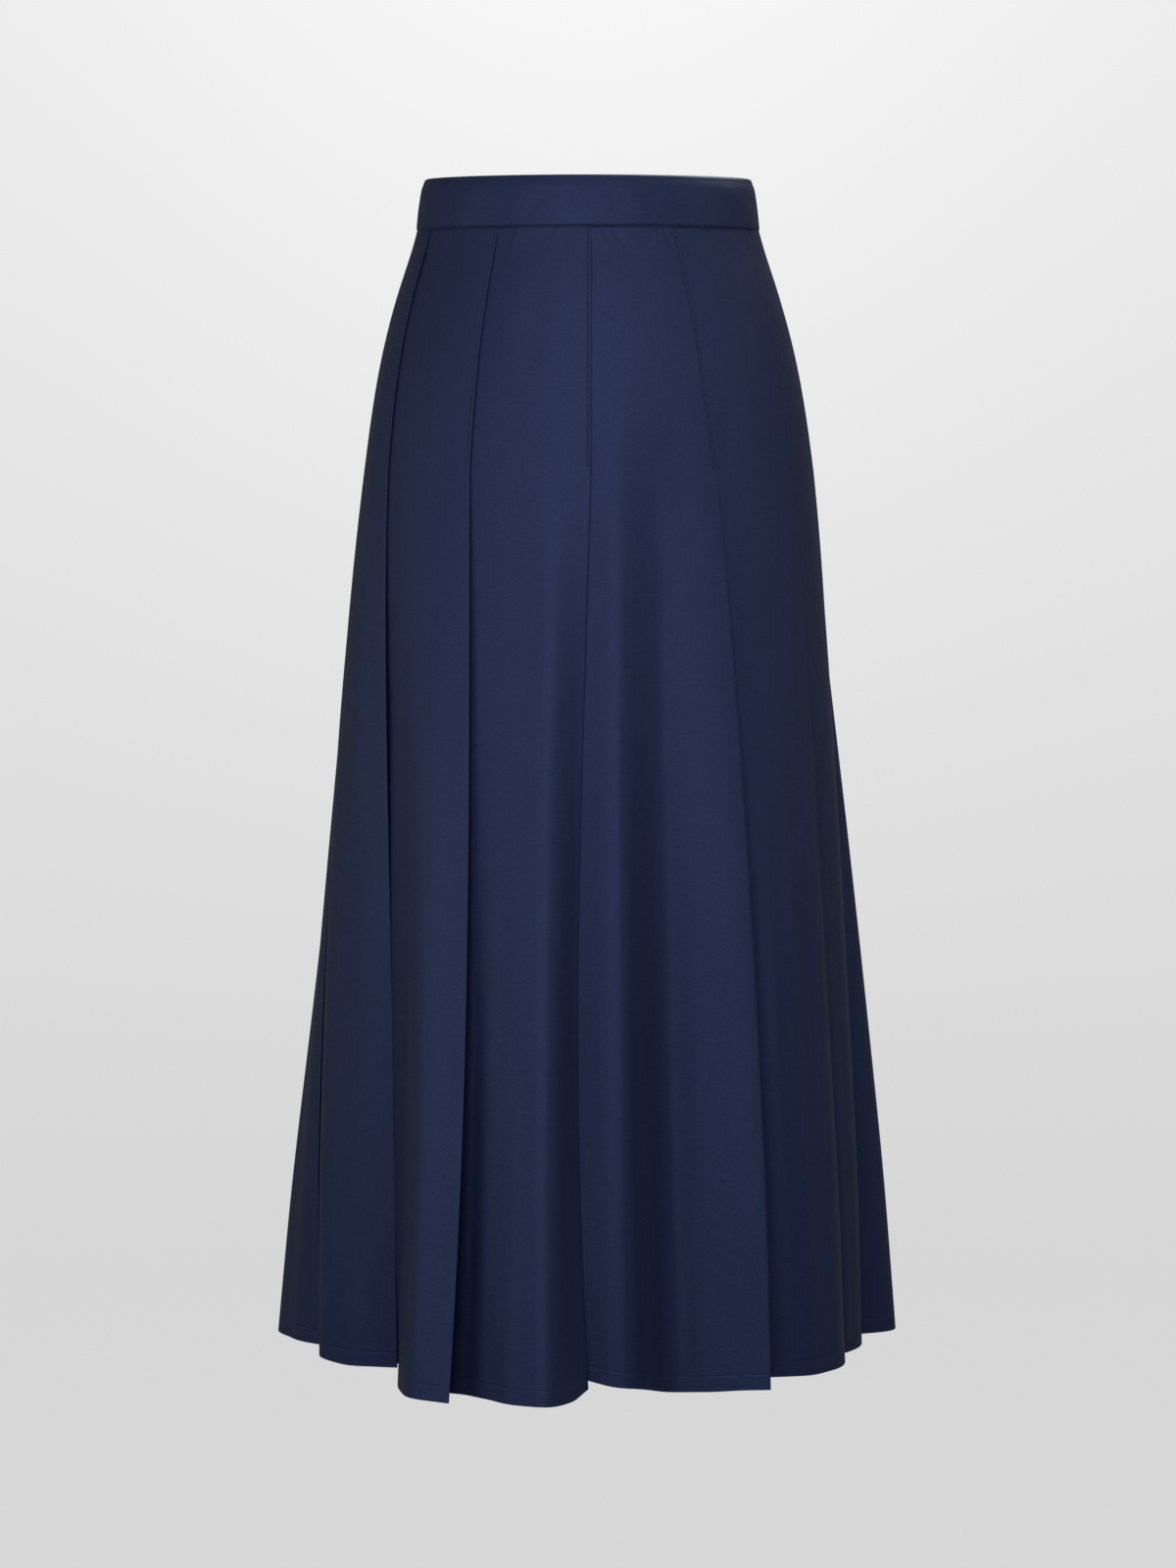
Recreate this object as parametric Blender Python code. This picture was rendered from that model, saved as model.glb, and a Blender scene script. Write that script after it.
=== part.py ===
"""Pleated midi skirt: ten knife-pleated gores under a folded waistband, zipped at centre back.

Metres, +Z up. The origin is the centre of the waist, level with the top edge of the band at
the side seams. The front faces -Y. "Turn" is the angle round the body from centre front,
positive towards +X. The skirt is open at the waist and the hem.
"""
import bpy
import numpy as np

for old in list(bpy.data.objects):
    bpy.data.objects.remove(old)

# Cloth
CLOTH = 0.0010          # one thickness
GAP = 0.00035           # between two layers that lie together
PITCH = CLOTH + GAP     # from one layer of a pleat to the next

# Lengths, down from the band seam at the side
BAND_TALL = 0.038
STITCHED = 0.177        # each pleat is edge-stitched down to here
SKIRT_LONG = 0.819
TUCK = 0.007            # gore tops that go up inside the band
DIP = 0.010             # the waist line drops this much at the front and rises it at the back

# The form the skirt hangs on, a row per section: metres below the band seam, half width,
# half depth to the front and to the back.
SECTIONS = (
    # below, half_wide, front, back
    (-TUCK, 0.1246, 0.0861, 0.0861),
    (0.000, 0.1255, 0.0870, 0.0870),
    (0.020, 0.1322, 0.0925, 0.0945),
    (0.045, 0.1407, 0.0985, 0.1045),
    (0.075, 0.1490, 0.1042, 0.1135),
    (0.105, 0.1556, 0.1092, 0.1215),
    (0.140, 0.1613, 0.1140, 0.1280),
    (STITCHED, 0.1662, 0.1180, 0.1330),
    (0.235, 0.1734, 0.1245, 0.1390),
    (0.320, 0.1830, 0.1340, 0.1465),
    (0.410, 0.1925, 0.1442, 0.1541),
    (0.500, 0.2018, 0.1543, 0.1618),
    (0.600, 0.2120, 0.1655, 0.1705),
    (0.710, 0.2232, 0.1780, 0.1800),
    (SKIRT_LONG, 0.2323, 0.1900, 0.1900),
)

# The gores in the order they are sewn, left back round the front to centre back. Each one's
# right edge is folded into a crease that laps over the next gore.
# waist, hip, knee, hem: turn of the crease in degrees, at the seam, the end of the stitching,
#   half way to the hem, and the hem
# shows: turn at the hem where the gore comes out from under the pleat before it
# outs: how far the hem stands off the form, in mm, at the fractions of its width in FACE_AT
# grows: power at which those flutes open down the skirt
# lap, deep: at the hem, how far back along the face the pleat's inner fold lies, and how far
#   behind the face it falls, in mm
# lap_waist: width of the pleat in the stitched part, in mm
FACE_AT = (0.0, 0.12, 0.30, 0.50, 0.70, 0.88, 1.0)
GORES = (
    # waist, hip, knee, hem, shows, outs, grows, lap, deep, lap_waist
    (-104.0, -100.0, -86.0, -71.6, -132.0, (-22, -8, -1, 0, 0, -12, -26), 1.8, 26, 32, 28),
    (-66.0, -61.0, -46.5, -40.4, -75.0, (-42, -35, -23, -10, -8, -19, -26), 1.8, 28, 20, 28),
    (-31.0, -30.6, -22.5, -20.1, -40.7, (-39, -27, -5, 26, 45, 49, 51), 1.2, 38, 44, 28),
    (0.8, 0.5, -1.0, 0.5, -22.0, (22, 23, 32, 46, 49, 38, 25), 1.2, 38, 17, 28),
    (30.0, 33.0, 32.5, 29.6, -0.2, (18, 22, 13, 4, 6, 16, 24), 1.2, 30, 46, 28),
    (66.0, 62.6, 58.0, 54.3, 30.1, (-13, -8, -1, 5, 4, -1, -7), 1.2, 30, 20, 28),
    (104.0, 97.0, 90.0, 82.8, 60.0, (-26, -22, -22, -24, -26, -28, -28), 1.2, 36, 10, 28),
    (143.0, 140.0, 137.0, 134.0, 84.0, (-32, -2, -1, -5, -4, 4, 8), 1.2, 28, 32, 28),
    (180.0, 180.0, 180.5, 181.0, 137.0, (-22, -8, 6, 10, 3, 6, 10), 1.2, 26, 36, 5),
    (217.0, 219.0, 221.5, 224.0, 184.0, (-22, -6, 8, 12, 6, 2, 6), 1.2, 28, 34, 28),
)
# Gores whose hem isn't level, lifted where the cloth stands out and lower where it falls back:
# how far it hangs below level, in mm, at FACE_AT.
DROPS = {
    3: (0, 0, 0, 0, 0, -1, -6),
    4: (-11, -8, -3, 2, 3, 1, 0),
}

FACE_STEPS = 12         # across a gore's face
LAP_AT = (0.0, 0.34, 0.67, 1.0)     # across a pleat, from its crease to its inner fold
FOLD_DEG = (45.0, 90.0, 135.0)      # round the crease


def smooth(knots, values, at):
    """Cubic through the knots that never swings past a value: flat at each peak."""
    knots = np.asarray(knots, float)
    values = np.asarray(values, float)
    step = np.diff(knots)
    rise = np.diff(values) / step
    slope = np.zeros(len(knots))
    same = rise[:-1] * rise[1:] > 0
    slope[1:-1][same] = 2.0 / (1.0 / rise[:-1][same] + 1.0 / rise[1:][same])
    slope[0], slope[-1] = rise[0], rise[-1]
    i = np.clip(np.searchsorted(knots, at, side="right") - 1, 0, len(step) - 1)
    u = (at - knots[i]) / step[i]
    start = values[i] + step[i] * u * slope[i]
    bend = 3 * rise[i] - 2 * slope[i] - slope[i + 1]
    lift = slope[i] + slope[i + 1] - 2 * rise[i]
    return start + step[i] * (bend * u**2 + lift * u**3)


def cloth_solid(name, outer, inner, colour, keep=None, doubled=None):
    """Close two grids of points (rows, columns, 3), the outer and inner faces of a cloth,
    into one solid. `keep` marks the cells that are there. Both faces are cut into triangles
    along the same diagonal, so a twisted cell keeps its thickness. From column `doubled` on
    the cloth runs back on itself, and the other diagonal keeps the two layers apart."""
    rows, cols = outer.shape[:2]
    keep = np.ones((rows - 1, cols - 1), bool) if keep is None else keep
    index = np.arange(rows * cols).reshape(rows, cols)
    a, b, c, d = (
        cell[keep] for cell in (index[:-1, :-1], index[:-1, 1:], index[1:, 1:], index[1:, :-1])
    )
    back = (a % cols >= (cols if doubled is None else doubled))[:, None]
    one = np.where(back, np.stack([a, b, d], axis=-1), np.stack([a, b, c], axis=-1))
    two = np.where(back, np.stack([b, c, d], axis=-1), np.stack([a, c, d], axis=-1))
    face = np.concatenate([one, two])
    edges = face[:, [[0, 1], [1, 2], [2, 0]]].reshape(-1, 2)
    far = rows * cols
    rim = edges[~np.isin(edges @ [far, 1], edges @ [1, far])]
    i, j = rim.T
    walls = np.concatenate([np.stack([i, j, j + far], -1), np.stack([i, j + far, i + far], -1)])
    triangles = np.concatenate([face[:, ::-1], face + far, walls])
    points = np.concatenate([outer.reshape(-1, 3), inner.reshape(-1, 3)])
    used, triangles = np.unique(triangles, return_inverse=True)
    mesh = bpy.data.meshes.new(name)
    mesh.from_pydata(points[used].tolist(), [], triangles.reshape(-1, 3).tolist())
    mesh.update()
    node = bpy.data.objects.new(name, mesh)
    bpy.context.scene.collection.objects.link(node)
    paint(node, colour)
    return node


def paint(node, colour, metallic=0.0, roughness=0.8):
    """Give a node its own Principled material."""
    material = bpy.data.materials.new(node.name)
    material.use_nodes = True
    shader = material.node_tree.nodes["Principled BSDF"]
    shader.inputs["Base Color"].default_value = (*colour, 1.0)
    shader.inputs["Metallic"].default_value = metallic
    shader.inputs["Roughness"].default_value = roughness
    node.data.materials.append(material)


def inward(line):
    """Unit direction along a plan line (..., n, 2) and the unit normal towards the body."""
    along = np.gradient(line, axis=-2)
    along /= np.linalg.norm(along, axis=-1, keepdims=True)
    return along, np.stack([-along[..., 1], along[..., 0]], axis=-1)


def thicken(line, half):
    """Offset a plan line (levels, n, 2) by `half` to each side, mitred at its corners."""
    leg = np.diff(line, axis=1)
    leg /= np.linalg.norm(leg, axis=-1, keepdims=True)
    side = np.stack([-leg[..., 1], leg[..., 0]], axis=-1)
    before = np.concatenate([side[:, :1], side], axis=1)
    after = np.concatenate([side, side[:, -1:]], axis=1)
    mitre = before + after
    mitre /= np.linalg.norm(mitre, axis=-1, keepdims=True)
    reach = half / np.maximum((mitre * after).sum(-1, keepdims=True), 0.6)
    return line - mitre * reach, line + mitre * reach


BELOW, WIDE, FRONT, BACK = np.array(SECTIONS).T
DOWN = np.clip((BELOW - STITCHED) / (SKIRT_LONG - STITCHED), 0, 1)      # 0 at the stitch end
SEWN = np.clip(BELOW / STITCHED, 0, 1)                                  # 0 at the band seam


def on_form(turn, out):
    """Plan points `out` beyond the form at angle `turn`, both (levels, n)."""
    wide = WIDE[:, None]
    deep = np.where(np.cos(turn) > 0, FRONT[:, None], BACK[:, None])
    point = np.stack([wide * np.sin(turn), -deep * np.cos(turn)], axis=-1)
    normal = np.stack([deep * np.sin(turn), -wide * np.cos(turn)], axis=-1)
    normal /= np.linalg.norm(normal, axis=-1, keepdims=True)
    return point + out[..., None] * normal


def height(plan, drop):
    """Height of plan points (levels, n, 2): the seam line follows the waist's dip, the hem
    is level but for `drop` (n,), and the levels between are shared out."""
    deep = np.where(plan[..., 1] < 0, FRONT[:, None], BACK[:, None])
    seam = -BAND_TALL + DIP * plan[..., 1] / deep
    part = BELOW[:, None] / SKIRT_LONG
    return seam * (1 - part) - (BAND_TALL + SKIRT_LONG + drop) * part


def crease_turn(row):
    """Turn of a gore's crease at each level, in radians."""
    waist, hip, knee, hem = np.radians(GORES[row % len(GORES)][:4])
    bow = 4 * knee - 3 * hip - hem
    below = hip + bow * DOWN + (hem - hip - bow) * DOWN**2
    lapped = 2 * np.pi * (row // len(GORES))
    return np.where(DOWN > 0, below, waist + (hip - waist) * SEWN) + lapped


def along_lap(line, back):
    """Points, directions and inward normals on a face line (levels, n, 2), `back` metres
    (levels, m) before its crease."""
    along, normal = inward(line)
    leg = np.linalg.norm(np.diff(line, axis=1), axis=-1)
    run = np.concatenate([np.zeros((len(leg), 1)), leg[:, ::-1].cumsum(axis=1)], axis=1)
    both = np.concatenate([line, along, normal], axis=-1)[:, ::-1]
    found = np.array([
        [np.interp(back[i], run[i], both[i, :, k]) for k in range(6)] for i in range(len(run))
    ])
    found = np.moveaxis(found, 1, 2)
    return found[..., :2], found[..., 2:4], found[..., 4:]


def face_line(row, left):
    """A gore's face at each level, from where it shows to its crease; `left` shifts its
    start (levels, 2), fading out over the first part of its width."""
    _, _, _, _, shows, outs, grows, _, _, _ = GORES[row]
    at = np.linspace(0, 1, FACE_STEPS + 1)
    last = crease_turn(row)
    before = crease_turn(row - 1)
    first = before + DOWN * (np.radians(shows) - before[-1])
    turn = first[:, None] + (last - first)[:, None] * at
    out = smooth(FACE_AT, outs, at) / 1000
    spiral = -2 * PITCH * (1 - at)**3
    line = on_form(turn, DOWN[:, None]**grows * out + (1 - DOWN[:, None]) * spiral)
    fade = np.clip(1 - at / 0.3, 0, 1)**2
    return line + left[:, None] * fade[:, None]


def pleat(row, face):
    """The pleat behind a gore's crease: its folded edge and return, then the hidden root
    of the next gore, each (levels, n, 2), and where the next gore comes out.

    Sewn down, all three lie along the face; by the hem the return and the root hang
    straight between the crease, the inner fold and the next gore."""
    _, _, _, _, _, _, grows, lap, deep, lap_waist = GORES[row]
    at = np.array(LAP_AT)
    hang = DOWN[:, None, None]
    wide = (lap_waist + (lap - lap_waist) * DOWN) / 1000
    fall = deep / 1000 * DOWN**grows
    point, along, normal = along_lap(face, wide[:, None] * at)
    crease, ahead, under = point[:, 0], along[:, 0], normal[:, 0]
    straight = crease[:, None] - ahead[:, None] * (wide[:, None] * at)[..., None]
    point = point + hang * (straight - point)
    normal = normal + hang * (under[:, None] - normal)
    normal /= np.linalg.norm(normal, axis=-1, keepdims=True)
    back = point + normal * (PITCH + fall[:, None] * at)[..., None]

    ring = np.radians(FOLD_DEG)[:, None]
    fold = (
        crease[:, None]
        + ahead[:, None] * PITCH / 2 * np.sin(ring)
        + under[:, None] * PITCH / 2 * (1 - np.cos(ring))
    )

    wanted = face_line((row + 1) % len(GORES), np.zeros((len(DOWN), 2)))[:, 0]
    clear = wanted - crease
    stand = np.maximum((clear * under).sum(-1) - 2 * PITCH, 0)
    least = -0.6 * wide * stand / np.maximum(np.maximum(fall, stand), 1e-6)
    past = np.maximum((clear * ahead).sum(-1), least)
    comes_out = crease + ahead * past[:, None] + under * (2 * PITCH + stand)[:, None]
    inner = point[:, -1] + normal[:, -1] * (2.3 * PITCH + fall)[:, None]
    depth = 2 * PITCH + stand[:, None] + (fall - stand)[:, None] * at
    sewn = point + normal * depth[..., None] + (ahead * past[:, None])[:, None] * (1 - at)[:, None]
    taut = comes_out[:, None] + (inner - comes_out)[:, None] * at[:, None]
    root = (sewn + hang * (taut - sewn))[:, :0:-1]
    return fold, back, root, comes_out, wanted


def hem_drop(row, root, fold):
    """How far the hem hangs below level along a gore's line: its root and its return meet
    its neighbours' half way."""
    level = (0,) * len(FACE_AT)
    before, own, after = (DROPS.get((row + k) % len(GORES), level) for k in (-1, 0, 1))
    return np.concatenate([
        np.linspace((before[-1] + own[0]) / 2, own[0], root, endpoint=False),
        smooth(FACE_AT, own, np.linspace(0, 1, FACE_STEPS + 1)),
        np.full(fold, own[-1]),
        np.linspace(own[-1], (own[-1] + after[0]) / 2, len(LAP_AT)),
    ]) / 1000


# The gores. A gore's line at each level runs from its hidden root, across its face and round
# its crease to the inner fold, where the next gore is joined on.
NAVY = (0.020, 0.028, 0.072)
unmoved = np.zeros((len(DOWN), 2))
pleats = [pleat(row, face_line(row, unmoved)) for row in range(len(GORES))]
faces = [
    face_line(row, pleats[row - 1][3] - pleats[row - 1][4]) for row in range(len(GORES))
]
pleats = [pleat(row, face) for row, face in enumerate(faces)]
for row, face in enumerate(faces):
    fold, back, _, _, _ = pleats[row]
    hidden = pleats[row - 1][2]
    line = np.concatenate([hidden, face, fold, back], axis=1)
    z = height(line, hem_drop(row, hidden.shape[1], fold.shape[1]))[..., None]
    outer, inner = (np.concatenate([side, z], axis=-1) for side in thicken(line, CLOTH / 2))
    cloth_solid(f"gore_{row}", outer, inner, NAVY, doubled=line.shape[1] - len(LAP_AT))


# The waistband: one strip folded over at the top, one leaf outside the gore tops and one
# inside, its ends meeting at centre back with a slit for the zip.
BAND_LEAN = 0.0050      # how far the band leans in by its top edge
SLIT = 0.0018
INNER_DROP = 0.0015     # the inner leaf reaches this far below the seam
LEAF_OUT, LEAF_IN = PITCH, -3.5 * PITCH
BAND_STEPS = 72


def at_waist(turn, out, rise):
    """Points of the band: `out` beyond the form at the seam, `rise` above the seam."""
    turn, out, rise = np.broadcast_arrays(turn, out, rise)
    out = out - BAND_LEAN * rise / BAND_TALL
    wide, deep = WIDE[1], BACK[1]
    normal = np.stack([deep * np.sin(turn), -wide * np.cos(turn)], axis=-1)
    normal /= np.linalg.norm(normal, axis=-1, keepdims=True)
    plan = np.stack([wide * np.sin(turn), -deep * np.cos(turn)], axis=-1)
    plan = plan + out[..., None] * normal
    z = rise - BAND_TALL - DIP * np.cos(turn)
    return np.concatenate([plan, z[..., None]], axis=-1)


def band_face(off):
    """Outs and rises of one face of the folded strip, `off` from its middle, from the foot
    of the inner leaf over the top to the foot of the outer leaf."""
    round_top = np.radians((180, 135, 90, 45, 0))
    radius = (LEAF_OUT - LEAF_IN) / 2
    top = BAND_TALL - CLOTH / 2 - radius
    outs = (LEAF_OUT + LEAF_IN) / 2 + (radius + off) * np.cos(round_top)
    rises = top + (radius + off) * np.sin(round_top)
    outs = np.concatenate([outs[:1], outs, outs[-1:]])
    return outs, np.concatenate([[-INNER_DROP], rises, [0.0]])


end = np.pi - SLIT / 2 / WIDE[1]
turns = np.linspace(-end, end, BAND_STEPS + 1)
outer, inner = (
    at_waist(turns, *(column[:, None] for column in band_face(off)))
    for off in (CLOTH / 2, -CLOTH / 2)
)
cloth_solid("waistband", outer, inner, NAVY)


# The zip: two tapes joined below the bottom stop, against the innermost layer at centre
# back and inside the band.
TAPE_WIDE = 0.024
TAPE = (
    # rise above the band seam, layers in from the face
    (0.0340, 4.5),
    (0.0180, 4.5),
    (-0.0030, 5.5),
    (-0.0110, 3.6),
    (-0.0200, 3.4),
    (-0.0450, 3.4),
    (-0.0750, 3.4),
    (-0.1050, 3.4),
    (-0.1400, 3.4),
    (0.0120 - STITCHED, 3.4),
    (0.0040 - STITCHED, 3.4),
)


def tape_face(off):
    """One face of the tape, `off` further out than its middle."""
    across = np.array((-TAPE_WIDE / 2, -SLIT / 2, SLIT / 2, TAPE_WIDE / 2))
    rows = []
    for rise, layers in TAPE:
        below = max(-rise, 0.0)
        wide = np.interp(below, BELOW, WIDE)
        deep = np.interp(below, BELOW, BACK)
        lean = BAND_LEAN * max(rise, 0.0) / BAND_TALL
        y = deep * np.sqrt(1 - (across / wide)**2) - layers * PITCH - lean + off
        part = below / SKIRT_LONG
        seam = -BAND_TALL + DIP
        z = seam + rise if rise > 0 else seam * (1 - part) - (BAND_TALL + SKIRT_LONG) * part
        rows.append(np.stack([-across, y, np.full(4, z)], axis=-1))
    return np.array(rows)


joined = np.ones((len(TAPE) - 1, 3), bool)
joined[:-1, 1] = False
cloth_solid("zip_tape", tape_face(CLOTH / 2), tape_face(-CLOTH / 2), NAVY, joined)


# The slider at the top of the zip: its body inside, a neck through the slit and a bail
# outside. The pull's top bar runs through the bail's window.
PIVOT_OUT, PIVOT_RISE = 0.0056, 0.0280
BODY_HALF, NECK_HALF = 0.0036, 0.0006
WINDOW = 0.0008         # half the window, front to back
TAPE_BACK = -4.5 * PITCH - CLOTH / 2 - GAP
ACROSS = (
    # out beyond the form, half width
    (TAPE_BACK - 0.0026, BODY_HALF),
    (TAPE_BACK, BODY_HALF),
    (TAPE_BACK + 0.0002, NECK_HALF),
    (PIVOT_OUT - WINDOW - 0.0010, NECK_HALF),
    (PIVOT_OUT - WINDOW, NECK_HALF),
    (PIVOT_OUT + WINDOW, NECK_HALF),
    (PIVOT_OUT + WINDOW + 0.0010, NECK_HALF),
)
RISES = PIVOT_RISE + np.array((0.0045, 0.0030, 0.0018, -0.0018, -0.0030, -0.0045))
METAL = (0.045, 0.050, 0.075)

out, half = np.array(ACROSS).T
side = at_waist(np.pi, out[None, :], RISES[:, None])
here = np.ones((len(RISES) - 1, len(out) - 1), bool)
here[0, 3:] = here[-1, 3:] = False
here[2, 4] = False
outer, inner = side.copy(), side.copy()
outer[..., 0], inner[..., 0] = half, -half
slider = cloth_solid("zip_slider", outer, inner, METAL, here)


# The pull tab, hanging plumb from the bail.
PULL_THICK = 0.0009
EYE_HALF = 0.0016
PULL = (
    # down from the pivot, half width
    (-0.0005, 0.0024),
    (0.0005, 0.0026),
    (0.0045, 0.0030),
    (0.0070, 0.0033),
    (0.0110, 0.0039),
    (0.0150, 0.0041),
    (0.0180, 0.0036),
    (0.0195, 0.0024),
    (0.0200, 0.0012),
)
down, half = np.array(PULL).T
pivot = at_waist(np.pi, PIVOT_OUT, PIVOT_RISE)
eye = np.minimum(EYE_HALF, 0.55 * half)
x = np.stack([half, eye, -eye, -half], axis=-1)
z = np.broadcast_to((pivot[2] - down)[:, None], x.shape)
outer, inner = (
    np.stack([x, np.full_like(x, pivot[1] + off), z], axis=-1)
    for off in (PULL_THICK / 2, -PULL_THICK / 2)
)
here = np.ones((len(PULL) - 1, 3), bool)
here[1, 1] = False
cloth_solid("zip_pull", outer, inner, METAL, here)
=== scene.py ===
"""Pleated midi skirt, dressed: navy cotton satin gores and their stitching, the waistband and
the concealed zip, hanging in a pale studio sweep."""
import bpy
import numpy as np
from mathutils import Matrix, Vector


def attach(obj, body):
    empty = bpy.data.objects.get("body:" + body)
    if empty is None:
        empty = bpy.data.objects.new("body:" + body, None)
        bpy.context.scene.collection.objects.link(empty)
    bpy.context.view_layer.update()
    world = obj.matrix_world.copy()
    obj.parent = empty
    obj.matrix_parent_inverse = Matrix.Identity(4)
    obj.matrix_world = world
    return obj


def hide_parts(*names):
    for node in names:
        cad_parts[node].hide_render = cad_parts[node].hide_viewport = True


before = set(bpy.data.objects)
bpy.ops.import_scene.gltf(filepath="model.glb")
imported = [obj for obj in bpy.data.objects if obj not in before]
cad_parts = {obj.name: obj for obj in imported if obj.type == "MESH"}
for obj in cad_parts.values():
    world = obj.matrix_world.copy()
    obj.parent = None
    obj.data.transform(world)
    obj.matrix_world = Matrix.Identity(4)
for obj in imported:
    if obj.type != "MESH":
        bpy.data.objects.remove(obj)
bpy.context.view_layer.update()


# The gores: ten panels of navy cotton satin, each folded into a knife pleat whose crease laps
# over the next gore. The pleats are pressed, edge-stitched down to the hip and hang free
# below. The hem is turned up once inside.
PITCH = 0.0009          # from one layer of a pleat to the next
PRESSED = 0.00036       # the same where the band's seam presses the layers together
CLOTH_OUT = 0.00025     # outer face of the cloth, from its middle
CLOTH_IN = 0.00015      # inner face
TURN_UP = 0.0004        # inner face where the hem is doubled
HEM_TALL = 0.012
BAND_TALL = 0.038
STITCHED = 0.177        # each pleat is edge-stitched down to here
SKIRT_LONG = 0.819      # from the band seam to the hem
TUCK = 0.007            # the gores go this far up into the band
DIP = 0.010             # the waist line drops this much at the front and rises as much at the back
UNPRESSED = 0.020       # this far from the band seam the layers lie a full PITCH apart
# The form that the gores hang on, an oval at each height.
SECTIONS = (
    # metres below the band seam, half width, half depth to the front and to the back
    (-TUCK, 0.1246, 0.0861, 0.0861),
    (0.000, 0.1255, 0.0870, 0.0870),
    (0.020, 0.1322, 0.0925, 0.0945),
    (0.045, 0.1407, 0.0985, 0.1045),
    (0.075, 0.1490, 0.1042, 0.1135),
    (0.105, 0.1556, 0.1092, 0.1215),
    (0.140, 0.1613, 0.1140, 0.1280),
    (STITCHED, 0.1662, 0.1180, 0.1330),
    (0.235, 0.1734, 0.1245, 0.1390),
    (0.320, 0.1830, 0.1340, 0.1465),
    (0.410, 0.1925, 0.1442, 0.1541),
    (0.500, 0.2018, 0.1543, 0.1618),
    (0.600, 0.2120, 0.1655, 0.1705),
    (0.710, 0.2232, 0.1780, 0.1800),
    (SKIRT_LONG, 0.2323, 0.1900, 0.1900),
)
# Each gore's crease: its turn round the body in degrees at the seam, the end of the
# stitching, half way to the hem, and the hem; the turn at the hem where the gore comes out
# from under the pleat before it; how far the hem stands off the form, in mm, at FACE_AT; the
# power at which that opens down the skirt; and the pleat's lap and depth at the hem and its
# width in the stitched part, in mm.
FACE_AT = (0.0, 0.12, 0.30, 0.50, 0.70, 0.88, 1.0)
GORES = (
    # waist, hip, knee, hem, shows, outs, grows, lap, deep, lap_waist
    (-104.0, -100.0, -86.0, -71.6, -132.0, (-22, -8, -1, 0, 0, -12, -26), 1.8, 26, 32, 28),
    (-66.0, -61.0, -46.5, -40.4, -75.0, (-42, -35, -23, -10, -8, -19, -26), 1.8, 28, 20, 28),
    (-31.0, -30.6, -22.5, -20.1, -40.7, (-39, -27, -5, 26, 45, 49, 51), 1.2, 38, 44, 28),
    (0.8, 0.5, -1.0, 0.5, -22.0, (22, 23, 32, 46, 49, 38, 25), 1.2, 38, 17, 28),
    (30.0, 33.0, 32.5, 29.6, -0.2, (18, 22, 13, 4, 6, 16, 24), 1.2, 30, 46, 28),
    (66.0, 62.6, 58.0, 54.3, 30.1, (-13, -8, -1, 5, 4, -1, -7), 1.2, 30, 20, 28),
    (104.0, 97.0, 90.0, 82.8, 60.0, (-26, -22, -22, -24, -26, -28, -28), 1.2, 36, 10, 28),
    (143.0, 140.0, 137.0, 134.0, 84.0, (-32, -2, -1, -5, -4, 4, 8), 1.2, 28, 32, 28),
    (180.0, 180.0, 180.5, 181.0, 137.0, (-22, -8, 6, 10, 3, 6, 10), 1.2, 26, 36, 5),
    (217.0, 219.0, 221.5, 224.0, 184.0, (-22, -6, 8, 12, 6, 2, 6), 1.2, 28, 34, 28),
)
# Gores whose hem isn't level, lifted where the cloth stands out and lower where it falls back:
# how far it hangs below level, in mm, at FACE_AT.
DROPS = {
    3: (0, 0, 0, 0, 0, -1, -6),
    4: (-11, -8, -3, 2, 3, 1, 0),
}
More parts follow.
